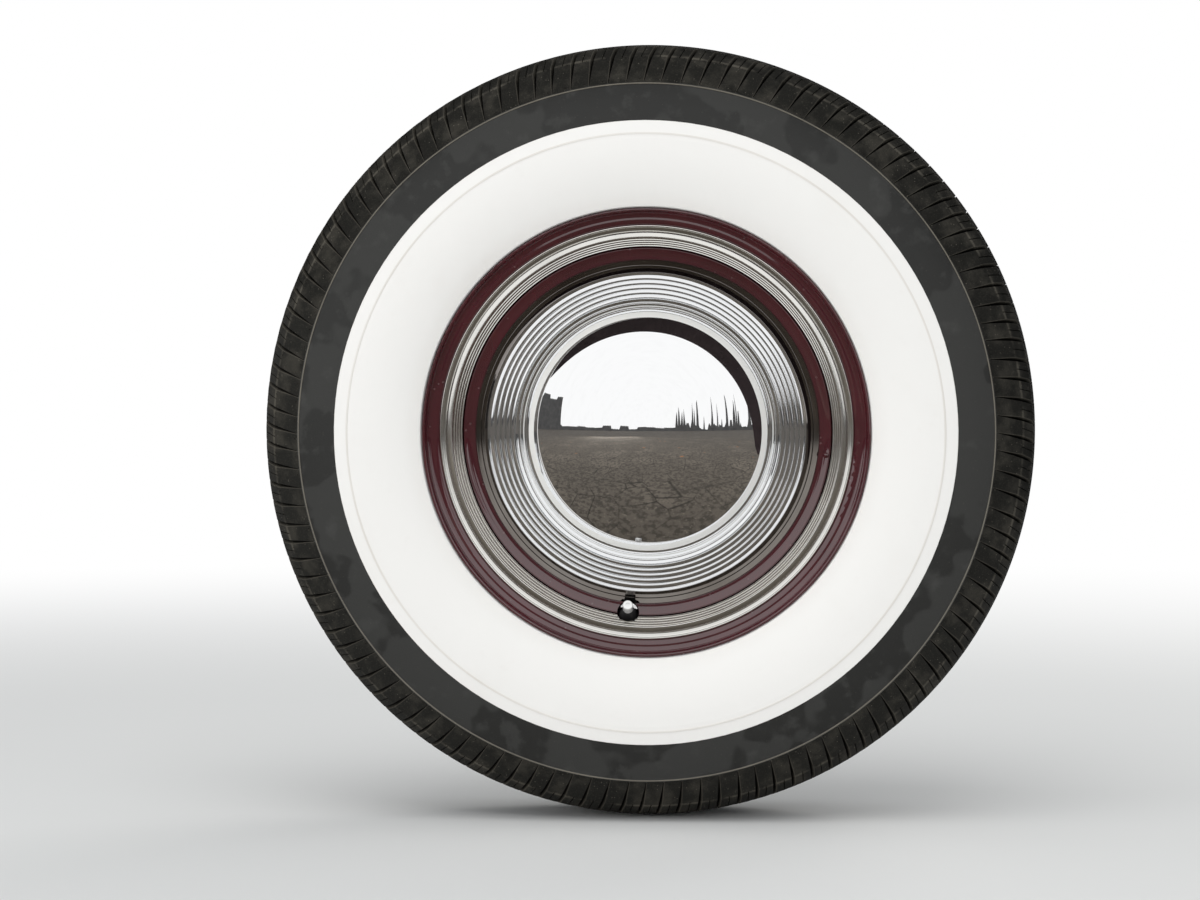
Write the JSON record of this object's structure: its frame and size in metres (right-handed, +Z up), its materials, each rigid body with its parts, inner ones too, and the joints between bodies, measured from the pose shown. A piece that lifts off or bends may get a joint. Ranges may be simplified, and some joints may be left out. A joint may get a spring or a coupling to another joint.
{
  "type": "front wheel with hub, brake drum and steering knuckle",
  "caption": "Classic car's front wheel: whitewall tyre, painted steel wheel with trim ring and ribbed hub cap, turning on a steering knuckle with its brake drum.",
  "frame": {"origin": "middle of the kingpin bore, where the kingpin's axis crosses the wheel's spin axis", "axes": "+X to the rear of the car, +Y inboard along the spin axis, +Z up; the wheel's outer face looks along -Y"},
  "size_m": [0.765, 0.2459, 0.765],
  "materials": {
    "tyre_rubber": "satin black with dusty grooves",
    "white_rubber": "smooth off-white",
    "maroon_paint": "deep maroon gloss",
    "bright_trim": "mirror polished",
    "plated_steel": "plated",
    "valve_rubber": "matt",
    "forged_steel": "black paint over a forged skin",
    "drum_iron": "cast with machined edges",
    "black_plate": "black enamel"
  },
  "bodies": {
    "knuckle": {"steering_knuckle": "forged_steel", "backing_plate": "black_plate", "knuckle_bolts": "plated_steel", "steering_arm": "forged_steel", "plate_fittings": "plated_steel"},
    "wheel": {"tyre": "tyre_rubber", "tyre_tread": "tyre_rubber", "whitewall": "white_rubber", "rim": "maroon_paint", "wheel_disc": "maroon_paint", "wheel_bolts": "plated_steel", "trim_ring": "bright_trim", "hub_cap": "bright_trim", "hub_cap_dome": "bright_trim", "valve_stem": "valve_rubber", "valve_cap": "plated_steel", "hub": "forged_steel", "brake_drum": "drum_iron"}
  },
  "joints": [
    {"name": "wheel_spin", "type": "hinge", "parent": "knuckle", "child": "wheel", "pos_m": [0, -0.12, 0], "axis": [0, 1, 0], "continuous": true}
  ]
}
